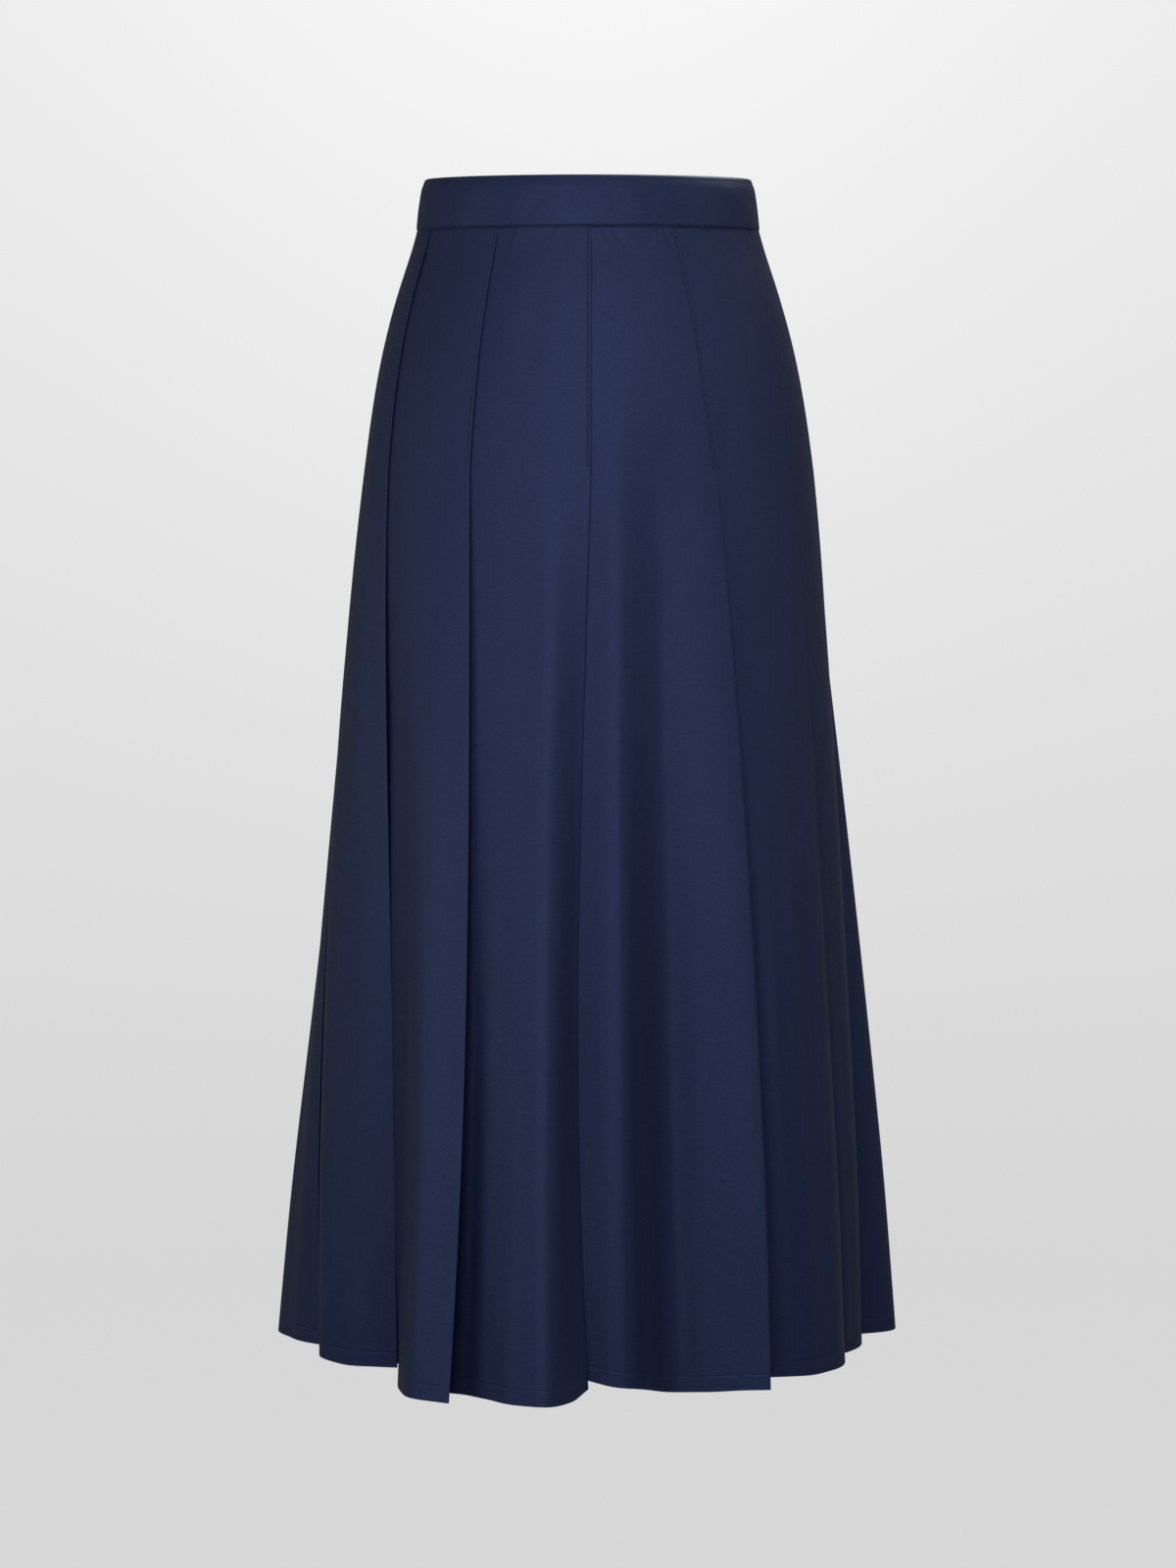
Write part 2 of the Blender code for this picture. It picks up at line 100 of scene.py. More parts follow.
# Soft creases: the gore; where on its face, from 0 where it comes out to 1 at its crease;
# metres below the seam where the crease starts and ends; its drift across the face on the
# way; and how far it stands out (or in, if below 0) and half its width, in mm.
CREASES = (
    # gore, across, starts, ends, drift, stands, half
    (1, 0.34, 0.30, 1.20, 0.10, 3.0, 20),
    (1, 0.72, 0.36, 1.10, -0.04, -2.4, 13),
    (1, 0.80, 0.09, 0.46, -0.14, 1.2, 9),
    (2, 0.25, 0.12, 0.95, 0.00, 5.0, 34),
    (2, 0.02, 0.36, 0.95, 0.00, 5.0, 26),
    (2, 0.62, 0.30, 0.95, 0.12, 2.6, 14),
    (2, 0.40, 0.04, 0.24, 0.08, -0.7, 9),
    (3, 0.00, 0.26, 0.95, 0.00, 2.0, 12),
    (3, 0.22, 0.22, 1.20, 0.00, 4.0, 18),
    (3, 0.70, 0.13, 1.20, 0.00, 5.0, 14),
    (3, 1.00, 0.13, 0.95, 0.00, -6.0, 17),
    (3, 0.55, 0.02, 0.13, -0.10, -0.6, 8),
    (4, 0.21, 0.13, 1.10, 0.00, 8.0, 12),
    (4, 0.50, 0.13, 1.10, 0.05, -11.0, 17),
    (4, 0.98, 0.13, 1.00, 0.00, 4.0, 22),
    (4, 0.62, 0.10, 0.26, 0.14, -0.8, 9),
    (5, 0.30, 0.30, 0.86, 0.04, 2.6, 12),
    (5, 0.66, 0.34, 1.05, 0.02, -2.6, 11),
    (5, 0.26, 0.11, 0.19, -0.16, -0.8, 7),
    (5, 0.62, 0.03, 0.11, 0.10, 0.6, 6),
    (6, 0.45, 0.30, 1.10, 0.05, 2.4, 14),
    (6, 0.60, 0.06, 0.28, 0.12, 0.9, 8),
    (7, 0.18, 0.22, 0.90, 0.06, 3.4, 16),
    (7, 0.46, 0.28, 1.20, -0.03, -4.0, 18),
    (7, 0.72, 0.34, 1.05, 0.05, 3.0, 15),
    (7, 0.50, 0.05, 0.21, 0.10, -0.8, 10),
    (8, 0.25, 0.30, 1.10, 0.05, -3.6, 17),
    (8, 0.55, 0.22, 0.88, -0.06, 3.2, 15),
    (8, 0.80, 0.38, 1.20, 0.00, -2.8, 13),
    (8, 0.40, 0.03, 0.16, -0.12, 0.7, 9),
    (9, 0.22, 0.26, 1.00, 0.04, 3.2, 15),
    (9, 0.50, 0.34, 1.20, 0.03, -3.8, 18),
    (9, 0.78, 0.28, 0.92, -0.05, 2.6, 13),
    (9, 0.58, 0.04, 0.20, 0.12, -0.8, 9),
    (0, 0.20, 0.28, 1.10, 0.05, -3.2, 16),
    (0, 0.52, 0.24, 0.94, -0.04, 3.0, 16),
    (0, 0.80, 0.36, 1.20, 0.02, -2.6, 13),
    (0, 0.45, 0.05, 0.18, -0.10, 0.8, 9),
)
# Puckers where the band gathers the cloth in: the gore; where on its face; metres below the
# seam; slope; and how far each stands out, half its length and half its width, in mm.
PUCKERS = (
    # gore, across, below, slope, stands, long, half
    (0, 0.30, 0.007, 0.4, 0.40, 8, 1.9),
    (0, 0.62, 0.009, -0.5, -0.40, 9, 2.0),
    (1, 0.42, 0.006, 0.3, -0.35, 7, 1.9),
    (1, 0.74, 0.008, -0.3, 0.40, 8, 1.8),
    (2, 0.24, 0.006, 0.2, 0.30, 7, 2.0),
    (2, 0.70, 0.006, 0.3, -0.30, 7, 2.2),
    (3, 0.22, 0.009, -0.3, 0.45, 9, 2.0),
    (3, 0.52, 0.006, 0.5, -0.40, 7, 1.8),
    (3, 0.66, 0.005, -0.4, 0.45, 6, 1.6),
    (3, 0.80, 0.006, 0.2, -0.35, 6, 1.6),
    (4, 0.14, 0.010, 0.5, 0.45, 10, 2.0),
    (4, 0.30, 0.007, 0.6, -0.45, 8, 1.8),
    (4, 0.72, 0.006, -0.2, 0.45, 6, 1.6),
    (4, 0.86, 0.006, 0.3, -0.35, 6, 1.6),
    (5, 0.36, 0.008, 0.9, 0.50, 8, 1.8),
    (5, 0.50, 0.011, 0.8, -0.50, 9, 2.0),
    (5, 0.66, 0.009, 1.0, 0.45, 8, 1.8),
    (6, 0.28, 0.007, -0.4, 0.40, 8, 1.8),
    (6, 0.66, 0.008, 0.5, -0.40, 8, 2.0),
    (7, 0.34, 0.006, 0.4, -0.40, 7, 1.8),
    (7, 0.58, 0.009, -0.6, 0.40, 9, 1.9),
    (8, 0.26, 0.008, 0.5, 0.40, 8, 1.8),
    (8, 0.60, 0.006, -0.3, -0.35, 6, 1.7),
    (9, 0.44, 0.007, -0.5, 0.40, 8, 1.8),
    (9, 0.76, 0.009, 0.4, -0.40, 9, 2.0),
)
START_FADES = 0.3       # a shift of a face's start dies away over this part of its width
LEAST_LAP = 0.6         # the next gore comes out no further back than this part of the lap
INNER_SEAM = 1.58       # layers from a pleat's face to the root at its inner seam, when flat
HEM_LIFTS = 0.23        # the hem rises by this part of how far a crease stands out
FACE_STEPS = 72
LAP_AT = np.linspace(0, 1, 10)              # from the crease to the inner seam
FOLD_DEG = np.arange(22.5, 170, 22.5)       # round the crease's folded edge
FORM_STEPS = 400
SEAM_RINGS, SKIRT_RINGS = 24, 128
NEAR_SEAM = 0.040       # the rings of points are closer together above here
LEAST_MITRE = 0.6       # cosine that stops a sharp bend's mitre from running out
SHARP_DEG = 50          # faces that meet at a sharper angle keep a hard edge


def smooth(knots, values, at):
    """A cubic between each two knots. Its slope at a knot is the harmonic mean of the rises
    on both sides, or 0 at a peak, so it never swings past a value."""
    knots = np.asarray(knots, float)
    values = np.asarray(values, float)
    step = np.diff(knots)
    rise = np.diff(values) / step
    slope = np.zeros(len(knots))
    same = rise[:-1] * rise[1:] > 0
    slope[1:-1][same] = 2.0 / (1.0 / rise[:-1][same] + 1.0 / rise[1:][same])
    slope[0], slope[-1] = rise[0], rise[-1]
    i = np.clip(np.searchsorted(knots, at, side="right") - 1, 0, len(step) - 1)
    u = (at - knots[i]) / step[i]
    start = values[i] + step[i] * u * slope[i]
    bend = 3 * rise[i] - 2 * slope[i] - slope[i + 1]
    lift = slope[i] + slope[i + 1] - 2 * rise[i]
    return start + step[i] * (bend * u**2 + lift * u**3)


def eased(values, reach):
    """Running mean over `reach` samples each way, taken twice, with the ends held."""
    for _ in range(2):
        long = np.pad(values, reach, mode="reflect", reflect_type="odd")
        values = np.convolve(long, np.ones(2 * reach + 1) / (2 * reach + 1), mode="valid")
    return values


# Metres below the band seam of each ring of points: close together by the seam and at the
# hem's turned edge.
BELOW = np.concatenate([
    np.linspace(-TUCK, NEAR_SEAM, SEAM_RINGS)[:-1],
    np.linspace(NEAR_SEAM, SKIRT_LONG - HEM_TALL, SKIRT_RINGS)[:-1],
    SKIRT_LONG - HEM_TALL + np.array((0.0, 0.0002)),
    SKIRT_LONG - np.array((0.009, 0.006, 0.003, 0.0010, 0.0004, 0.0001, 0.0)),
])


def form():
    """Half width and half depths of the form at each ring: eased cubics through SECTIONS."""
    even = np.linspace(-TUCK, SKIRT_LONG, FORM_STEPS)
    below, *columns = np.array(SECTIONS).T
    return [np.interp(BELOW, even, eased(smooth(below, c, even), reach=8)) for c in columns]


WIDE, FRONT, BACK = form()
LAYER = PRESSED + (PITCH - PRESSED) * np.clip(np.abs(BELOW) / UNPRESSED, 0, 1)
DOWN = np.clip((BELOW - STITCHED) / (SKIRT_LONG - STITCHED), 0, 1)  # stitch end 0, hem 1
SEWN = np.clip(BELOW / STITCHED, 0, 1)                              # band seam 0, stitch end 1
UNMOVED = np.zeros((len(BELOW), 2))


def inward(line):
    """Unit direction along a plan line (..., n, 2) and the unit normal towards the body."""
    along = np.gradient(line, axis=-2)
    along /= np.linalg.norm(along, axis=-1, keepdims=True)
    return along, np.stack([-along[..., 1], along[..., 0]], axis=-1)


def offset(line, off):
    """A plan line (rings, n, 2) moved towards the body by `off` (rings, 1), mitred."""
    leg = np.diff(line, axis=1)
    leg /= np.linalg.norm(leg, axis=-1, keepdims=True)
    side = np.stack([-leg[..., 1], leg[..., 0]], axis=-1)
    before = np.concatenate([side[:, :1], side], axis=1)
    after = np.concatenate([side, side[:, -1:]], axis=1)
    mitre = before + after
    mitre /= np.linalg.norm(mitre, axis=-1, keepdims=True)
    reach = off[..., None] / np.maximum((mitre * after).sum(-1, keepdims=True), LEAST_MITRE)
    return line + mitre * reach


def on_form(turn, out):
    """Plan points (rings, n, 2) `out` beyond the form at angle `turn`, both (rings, n): an
    oval's points, moved along its normals."""
    wide = WIDE[:, None]
    deep = np.where(np.cos(turn) > 0, FRONT[:, None], BACK[:, None])
    point = np.stack([wide * np.sin(turn), -deep * np.cos(turn)], axis=-1)
    normal = np.stack([deep * np.sin(turn), -wide * np.cos(turn)], axis=-1)
    normal /= np.linalg.norm(normal, axis=-1, keepdims=True)
    return point + out[..., None] * normal


def height(plan, drop=0.0):
    """Height of plan points (rings, n, 2): the seam line follows the waist's dip, the hem
    is level but for `drop` (n,), and the rings between are shared out."""
    deep = np.where(plan[..., 1] < 0, FRONT[:, None], BACK[:, None])
    seam = -BAND_TALL + DIP * plan[..., 1] / deep
    part = BELOW[:, None] / SKIRT_LONG
    return seam * (1 - part) - (BAND_TALL + SKIRT_LONG + drop) * part


def crease_turn(row):
    """Turn of a gore's crease at each ring, in radians: straight from the waist to the hip,
    then a parabola through the hip, the knee and the hem."""
    waist, hip, knee, hem = np.radians(GORES[row % len(GORES)][:4])
    bow = 4 * knee - 3 * hip - hem
    below = hip + bow * DOWN + (hem - hip - bow) * DOWN**2
    lapped = 2 * np.pi * (row // len(GORES))
    return np.where(DOWN > 0, below, waist + (hip - waist) * SEWN) + lapped


def along_lap(line, back):
    """Points, directions and inward normals on a face line (rings, n, 2), `back` metres
    (rings, m) before its crease."""
    along, normal = inward(line)
    leg = np.linalg.norm(np.diff(line, axis=1), axis=-1)
    run = np.concatenate([np.zeros((len(leg), 1)), leg[:, ::-1].cumsum(axis=1)], axis=1)
    both = np.concatenate([line, along, normal], axis=-1)[:, ::-1]
    found = np.array([
        [np.interp(back[i], run[i], both[i, :, k]) for k in range(6)] for i in range(len(run))
    ])
    found = np.moveaxis(found, 1, 2)
    return found[..., :2], found[..., 2:4], found[..., 4:]


def relief(row, at, line):
    """How far a gore's creases and puckers stand out (rings, n): a crease is a bell across
    the cloth that swells and dies away down its length, a pucker a slanting bell."""
    wide = np.linalg.norm(np.diff(line, axis=1), axis=-1).sum(axis=1)[:, None] * 1000
    below = BELOW[:, None]
    stands = np.zeros(line.shape[:2])
    for gore, across, starts, ends, drift, high, half in CREASES:
        if gore == row:
            along = np.clip((below - starts) / (ends - starts), 0, 1)
            bell = np.exp(-((at - across - drift * along) * wide / half)**2)
            stands += high * bell * np.sin(np.pi * along)
    for gore, across, starts, slope, high, long, half in PUCKERS:
        if gore == row:
            aside = (at - across) * wide
            under = (below - starts) * 1000
            run = (under + slope * aside) / np.hypot(1, slope)
            off = (aside - slope * under) / np.hypot(1, slope)
            stands += high * np.exp(-(run / long)**2 - (off / half)**2)
    return stands / 1000


def face_line(row, left):
    """A gore's face (rings, n, 2), from where it shows to its crease: even turns on the
    form, a cubic through its outs that opens down the skirt, and its relief. Where it is sewn
    down it starts two layers in. `left` shifts its start (rings, 2)."""
    shows, outs, grows = GORES[row][4:7]
    at = np.linspace(0, 1, FACE_STEPS + 1)
    last = crease_turn(row)
    before = crease_turn(row - 1)
    first = before + DOWN * (np.radians(shows) - before[-1])
    turn = first[:, None] + (last - first)[:, None] * at
    out = eased(smooth(FACE_AT, outs, at), reach=2) / 1000
    spiral = -2 * LAYER[:, None] * (1 - at)**3
    line = on_form(turn, DOWN[:, None]**grows * out + (1 - DOWN[:, None]) * spiral)
    _, normal = inward(line)
    line = line - normal * relief(row, at, line)[..., None]
    fade = np.clip(1 - at / START_FADES, 0, 1)**2
    return line + left[:, None] * fade[:, None]


def pleat(row, face):
    """The pleat behind a gore's crease: its folded edge and return, then the hidden root
    of the next gore, each (rings, n, 2), then where the next gore comes out and where its
    own face starts, which the shift of that face brings together.

    Sewn down, all three lie along the face; by the hem the return and the root hang
    straight between the crease, the inner seam and the next gore."""
    grows, lap, deep, lap_waist = GORES[row][6:]
    at = LAP_AT
    hang = DOWN[:, None, None]
    wide = (lap_waist + (lap - lap_waist) * DOWN) / 1000
    fall = deep / 1000 * DOWN**grows
    point, along, normal = along_lap(face, wide[:, None] * at)
    crease, ahead, under = point[:, 0], along[:, 0], normal[:, 0]
    straight = crease[:, None] - ahead[:, None] * (wide[:, None] * at)[..., None]
    point = point + hang * (straight - point)
    normal = normal + hang * (under[:, None] - normal)
    normal /= np.linalg.norm(normal, axis=-1, keepdims=True)
    back = point + normal * (LAYER[:, None] + fall[:, None] * at)[..., None]

    ring = np.radians(FOLD_DEG)[:, None]
    radius = LAYER[:, None, None] / 2
    fold = (
        crease[:, None]
        + ahead[:, None] * radius * np.sin(ring)
        + under[:, None] * radius * (1 - np.cos(ring))
    )

    wanted = face_line((row + 1) % len(GORES), UNMOVED)[:, 0]
    clear = wanted - crease
    stand = np.maximum((clear * under).sum(-1) - 2 * LAYER, 0)
    least = -LEAST_LAP * wide * stand / np.maximum(np.maximum(fall, stand), 1e-6)
    past = np.maximum((clear * ahead).sum(-1), least)
    comes_out = crease + ahead * past[:, None] + under * (2 * LAYER + stand)[:, None]
    inner = point[:, -1] + normal[:, -1] * (INNER_SEAM * LAYER + fall)[:, None]
    depth = (2 * LAYER + stand)[:, None] + (fall - stand)[:, None] * at
    sewn = point + normal * depth[..., None] + (ahead * past[:, None])[:, None] * (1 - at)[:, None]
    taut = comes_out[:, None] + (inner - comes_out)[:, None] * at[:, None]
    root = (sewn + hang * (taut - sewn))[:, :0:-1]
    return fold, back, root, comes_out, wanted


def hem_drop(row, root, fold):
    """How far the hem hangs below level along a gore's line: its root and its return meet
    its neighbours' half way, and each crease that stands out lifts it a little."""
    level = (0,) * len(FACE_AT)
    before, own, after = (DROPS.get((row + k) % len(GORES), level) for k in (-1, 0, 1))
    at = np.linspace(0, 1, FACE_STEPS + 1)
    lifts = HEM_LIFTS * relief(row, at, faces[row])[-1] * 1000
    return np.concatenate([
        np.linspace((before[-1] + own[0]) / 2, own[0], root, endpoint=False),
        smooth(FACE_AT, own, at) - lifts * np.sin(np.pi * at),
        np.full(fold, own[-1]),
        np.linspace(own[-1], (own[-1] + after[0]) / 2, len(LAP_AT)),
    ]) / 1000


def shell(name, outer, inner, material, maps):
    """Close two grids of points (rings, columns, 3), the outer and inner faces of a cloth,
    into one shell of four-sided faces. `maps` holds its UV maps, each (rings, columns, 2)."""
    rings, columns = outer.shape[:2]
    index = np.arange(rings * columns).reshape(rings, columns)
    a, b, c, d = index[:-1, :-1], index[:-1, 1:], index[1:, 1:], index[1:, :-1]
    face = np.stack([a, d, c, b], axis=-1).reshape(-1, 4)
    far = rings * columns
    rim = np.concatenate([index[0, :-1], index[:-1, -1], index[-1, :0:-1], index[:0:-1, 0]])
    ahead = np.roll(rim, -1)
    walls = np.stack([rim, ahead, ahead + far, rim + far], axis=-1)
    quads = np.concatenate([face, face[:, ::-1] + far, walls])
    points = np.concatenate([outer.reshape(-1, 3), inner.reshape(-1, 3)])
    return solid(name, points, quads, material, maps)


def solid(name, points, quads, material, maps=None):
    """A smooth-shaded object from points and four-sided faces, with its UV maps."""
    mesh = bpy.data.meshes.new(name)
    mesh.from_pydata(points, [], quads)
    mesh.update()
    mesh.shade_smooth()
    mesh.set_sharp_from_angle(angle=np.radians(SHARP_DEG))
    for key, uv in (maps or {}).items():
        both = np.concatenate([uv.reshape(-1, 2)] * 2)
        layer = mesh.uv_layers.new(name=key)
        layer.uv.foreach_set("vector", both[quads.ravel()].ravel())
    mesh.materials.append(material)
    piece = bpy.data.objects.new(name, mesh)
    bpy.context.scene.collection.objects.link(piece)
    return piece


def math(tree, operation, *values):
    """The output of a math node fed with sockets or numbers."""
    node = tree.nodes.new("ShaderNodeMath")
    node.operation = operation
    for socket, value in zip(node.inputs, values):
        if isinstance(value, bpy.types.NodeSocket):
            tree.links.new(value, socket)
        else:
            socket.default_value = value
    return node.outputs[0]


def noise(tree, place, per_metre, detail):
    """Noise from 0 to 1, with `per_metre` features along each axis."""
    scaled = tree.nodes.new("ShaderNodeVectorMath")
    scaled.operation = "MULTIPLY"
    scaled.inputs[1].default_value = per_metre
    texture = tree.nodes.new("ShaderNodeTexNoise")
    texture.inputs["Scale"].default_value = 1.0
    texture.inputs["Detail"].default_value = detail
    tree.links.new(place, scaled.inputs[0])
    tree.links.new(scaled.outputs[0], texture.inputs["Vector"])
    return texture.outputs["Fac"]


def bell(tree, value, middle, half):
    """1 where a value is at the middle, dying away on both sides: e to the power of minus
    the square of how many half widths it is off."""
    off = math(tree, "DIVIDE", math(tree, "SUBTRACT", value, middle), half)
    return math(tree, "EXPONENT", math(tree, "MULTIPLY", math(tree, "MULTIPLY", off, off), -1))


def new_finish(name):
    """An empty finish: its material, node tree and shader."""
    material = bpy.data.materials.new(name)
    material.use_nodes = True
    tree = material.node_tree
    return material, tree, tree.nodes["Principled BSDF"]


def dye(tree, shader, colour, tone):
    """Give a shader its colour, lighter or darker by the tone."""
    dyed = tree.nodes.new("ShaderNodeVectorMath")
    dyed.operation = "SCALE"
    dyed.inputs[0].default_value = colour
    tree.links.new(tone, dyed.inputs["Scale"])
    tree.links.new(dyed.outputs[0], shader.inputs["Base Color"])


def bumped(tree, height, distance, strength=1.0):
    """A bump node fed with a height."""
    bump = tree.nodes.new("ShaderNodeBump")
    bump.inputs["Strength"].default_value = strength
    bump.inputs["Distance"].default_value = distance
    tree.links.new(height, bump.inputs["Height"])
    return bump


WARP = 0.00036          # from one warp thread to the next; a float spans five wefts as wide
SLUBS = (
    # thick and thin places in the yarn: how many a metre along x, y and z, and their height
    ((700, 260, 1), 1.6),
    ((260, 700, 1), 1.6),
    ((220, 220, 1), 2.4),
)
TONES = (
    # uneven colour, from single yarns to whole patches: how many a metre, detail, strength
    ((1500, 60, 1), 1, 0.26),
    ((60, 1500, 1), 1, 0.26),
    ((560, 560, 1), 2, 0.60),
    ((200, 200, 1), 1, 0.16),
    ((14, 9, 1), 2, 0.10),
)


def satin_weave():
    """Node group. Height: round warp threads, each dipping under every fifth weft over the
    last tenth of a float at each end, two wefts along from its neighbour's dip, on a cloth a
    little uneven from its yarns' thick and thin places. Tone: uneven yarn and dye, about 1."""
    tree = bpy.data.node_groups.new("satin weave", "ShaderNodeTree")
    tree.interface.new_socket("Cloth", in_out="INPUT", socket_type="NodeSocketVector")
    tree.interface.new_socket("Height", in_out="OUTPUT", socket_type="NodeSocketFloat")
    tree.interface.new_socket("Tone", in_out="OUTPUT", socket_type="NodeSocketFloat")
    cloth = tree.nodes.new("NodeGroupInput").outputs["Cloth"]
    split = tree.nodes.new("ShaderNodeSeparateXYZ")
    tree.links.new(cloth, split.inputs[0])
    across = math(tree, "DIVIDE", split.outputs["X"], WARP)
    in_thread = math(tree, "SUBTRACT", math(tree, "FRACT", across), 0.5)
    rounded = math(tree, "MULTIPLY_ADD", math(tree, "MULTIPLY", in_thread, in_thread), -4, 1)
    floats = math(tree, "DIVIDE", split.outputs["Y"], 5 * WARP)
    shifted = math(tree, "MULTIPLY_ADD", math(tree, "FLOOR", across), 2 / 5, floats)
    from_dip = math(tree, "ABSOLUTE", math(tree, "SUBTRACT", math(tree, "FRACT", shifted), 0.5))
    on_top = math(tree, "SUBTRACT", 1, math(tree, "MULTIPLY_ADD", from_dip, 10, -4))
    on_top = math(tree, "MINIMUM", on_top, 1)
    height = math(tree, "MULTIPLY", rounded, on_top)
    for per_metre, strength in SLUBS:
        slub = math(tree, "SUBTRACT", noise(tree, cloth, per_metre, 2), 0.5)
        height = math(tree, "MULTIPLY_ADD", slub, strength, height)
    tone = 1.0
    for per_metre, detail, strength in TONES:
        uneven = math(tree, "SUBTRACT", noise(tree, cloth, per_metre, detail), 0.5)
        tone = math(tree, "MULTIPLY_ADD", uneven, strength, tone)
    out = tree.nodes.new("NodeGroupOutput")
    tree.links.new(height, out.inputs["Height"])
    tree.links.new(tone, out.inputs["Tone"])
    return tree


def uv_map(tree, name):
    """A UV map as a vector."""
    node = tree.nodes.new("ShaderNodeUVMap")
    node.uv_map = name
    return node.outputs["UV"]


def satin(name, colour, weave, seams=False):
    """Satin: the colour toned by its yarn, glossier where it is paler, with the weave as
    bump. With `seams`, stitches near the crease dimple the cloth and pinch it across, a groove
    marks the hem, and shade is painted into the colour at the needle holes and the band's seam."""
    material, tree, shader = new_finish(name)
    woven = tree.nodes.new("ShaderNodeGroup")
    woven.node_tree = weave
    tree.links.new(uv_map(tree, "cloth"), woven.inputs["Cloth"])
    tone = woven.outputs["Tone"]
    tree.links.new(math(tree, "MULTIPLY_ADD", tone, -0.3, 0.73), shader.inputs["Roughness"])
    shader.inputs["Specular IOR Level"].default_value = 0.5
    shader.inputs["Specular Tint"].default_value = (0.30, 0.42, 1.0, 1.0)
    threads = bumped(tree, woven.outputs["Height"], 0.00005, strength=0.6)
    if seams:
        marks, painted_shade = sewn_marks(tree)
        # The colour takes the painted shade at the needle holes and in the band's seam.
        tone = math(tree, "MULTIPLY", tone, painted_shade)
        pressed = bumped(tree, marks, 0.001)
        tree.links.new(pressed.outputs["Normal"], threads.inputs["Normal"])
    dye(tree, shader, colour, tone)
    tree.links.new(threads.outputs["Normal"], shader.inputs["Normal"])
    return material


STITCH = 0.0023         # length of one stitch
STITCH_IN = 0.0017      # edge stitching, in from the crease
HEM_STITCH = 0.0105     # hem stitching, up from the hem
GROOVE_HALF = 0.0006    # half width of the groove along a row of stitches
PINCH_HALF = 0.0020     # the same of the fine puckers across it
# The next two set the widths of the shade painted into the cloth's colour at the needle holes and
# in the band's seam.
HOLE_SHADE_HALF = 0.0007      # the same of the dark needle holes
SEAM_SHADE_HALF = 0.0012      # the same of the shade in the band's seam


def sewn_marks(tree):
    """What stitching does to the cloth, from the UV map "edge", which holds metres before the
    crease and metres below the seam. Height in mm: a groove with a dimple at each stitch,
    fine puckers across it, and a shallow groove where the hem is caught. Painted shade: a
    factor on the colour, dark at each needle hole and in the band's seam, 1 elsewhere."""
    split = tree.nodes.new("ShaderNodeSeparateXYZ")
    tree.links.new(uv_map(tree, "edge"), split.inputs[0])
    before, below = split.outputs["X"], split.outputs["Y"]
    beat = math(tree, "COSINE", math(tree, "MULTIPLY", below, 2 * np.pi / STITCH))
    stitched = math(tree, "LESS_THAN", below, STITCHED)

    dimple = math(tree, "MULTIPLY_ADD", beat, 0.10, -0.14)
    groove = math(tree, "MULTIPLY", bell(tree, before, STITCH_IN, GROOVE_HALF), dimple)
    gather = math(tree, "MULTIPLY", beat, 0.05)
    pinch = math(tree, "MULTIPLY", bell(tree, before, STITCH_IN, PINCH_HALF), gather)
    sewn = math(tree, "MULTIPLY", math(tree, "ADD", groove, pinch), stitched)
    caught = bell(tree, below, SKIRT_LONG - HEM_STITCH, GROOVE_HALF)
    height = math(tree, "MULTIPLY_ADD", caught, -0.10, sewn)

    # Painted shade: the colour is darkened at each needle hole, standing in for the shadow in the
    # hole.
    hole = math(tree, "MULTIPLY", bell(tree, before, STITCH_IN, HOLE_SHADE_HALF), stitched)
    painted_hole_shade = math(tree, "MULTIPLY", hole, math(tree, "MULTIPLY_ADD", beat, -0.40, -0.40))
    # Painted shade: the colour is darkened just under the band's seam, standing in for the shadow
    # where the seam pulls the cloth in.
    seam = math(tree, "MULTIPLY_ADD", bell(tree, below, 0, SEAM_SHADE_HALF), -0.7, 1)
    return height, math(tree, "ADD", painted_hole_shade, seam)


NAVY = (0.0125, 0.0180, 0.0480)
weave = satin_weave()
gore_satin = satin("gore satin", NAVY, weave, seams=True)
# A face starts where the pleat before it lets it out, so each pleat is worked out twice:
# behind the face unmoved, which says how far to shift the next, and behind the shifted one.
pleats = [pleat(row, face_line(row, UNMOVED)) for row in range(len(GORES))]
faces = [
    face_line(row, pleats[row - 1][3] - pleats[row - 1][4]) for row in range(len(GORES))
]
pleats = [pleat(row, face) for row, face in enumerate(faces)]
inner_off = np.where(BELOW > SKIRT_LONG - HEM_TALL, TURN_UP, CLOTH_IN)[:, None]
for row, face in enumerate(faces):
    fold, back = pleats[row][:2]
    hidden = pleats[row - 1][2]
    line = np.concatenate([hidden, face, fold, back], axis=1)
    first = hidden.shape[1]
    crease = first + FACE_STEPS
    z = height(line, hem_drop(row, first, fold.shape[1]))[..., None]
    outer = np.concatenate([offset(line, np.full_like(inner_off, -CLOTH_OUT)), z], axis=-1)
    inner = np.concatenate([offset(line, inner_off), z], axis=-1)
    leg = np.linalg.norm(np.diff(line, axis=1), axis=-1)
    run = np.concatenate([np.zeros((len(leg), 1)), leg.cumsum(axis=1)], axis=1)
    middle = first + FACE_STEPS // 2
    below = np.broadcast_to(BELOW[:, None], run.shape)
    maps = {
        "cloth": np.stack([run - run[:, middle:middle + 1], -below], axis=-1),
        "edge": np.stack([np.abs(run - run[:, crease:crease + 1]), below], axis=-1),
    }
    gore = shell(f"gore_{row}_satin", outer, inner, gore_satin, maps)
    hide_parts(f"gore_{row}")
    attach(gore, "skirt")


# The edge stitching: one thread along each crease but the zip's, just in from the fold, from
# the band seam to where the pleat opens, where it turns off over the fold.
THREAD = 0.00016        # radius
SIDES = 5
PER_STITCH = 6          # rings along each stitch
FIRST_STITCH = 0.0010   # below the band seam
TURNS_OFF = 0.0024      # its last stretch, which turns off over the fold
OFF_FOLD = 0.0003       # and ends this far short of the fold
LIES, DIPS = 0.9, 2.6   # radii that it lies above the cloth, and that it dips at each hole
HOLE_BEAT = 0.6         # it dips where the stitch's cosine is above this
ZIP_GORE = 8            # its crease is over the zip, and isn't stitched through
SEWN_RINGS = BELOW < STITCHED + 0.01        # the rings beside the thread and the next ones down


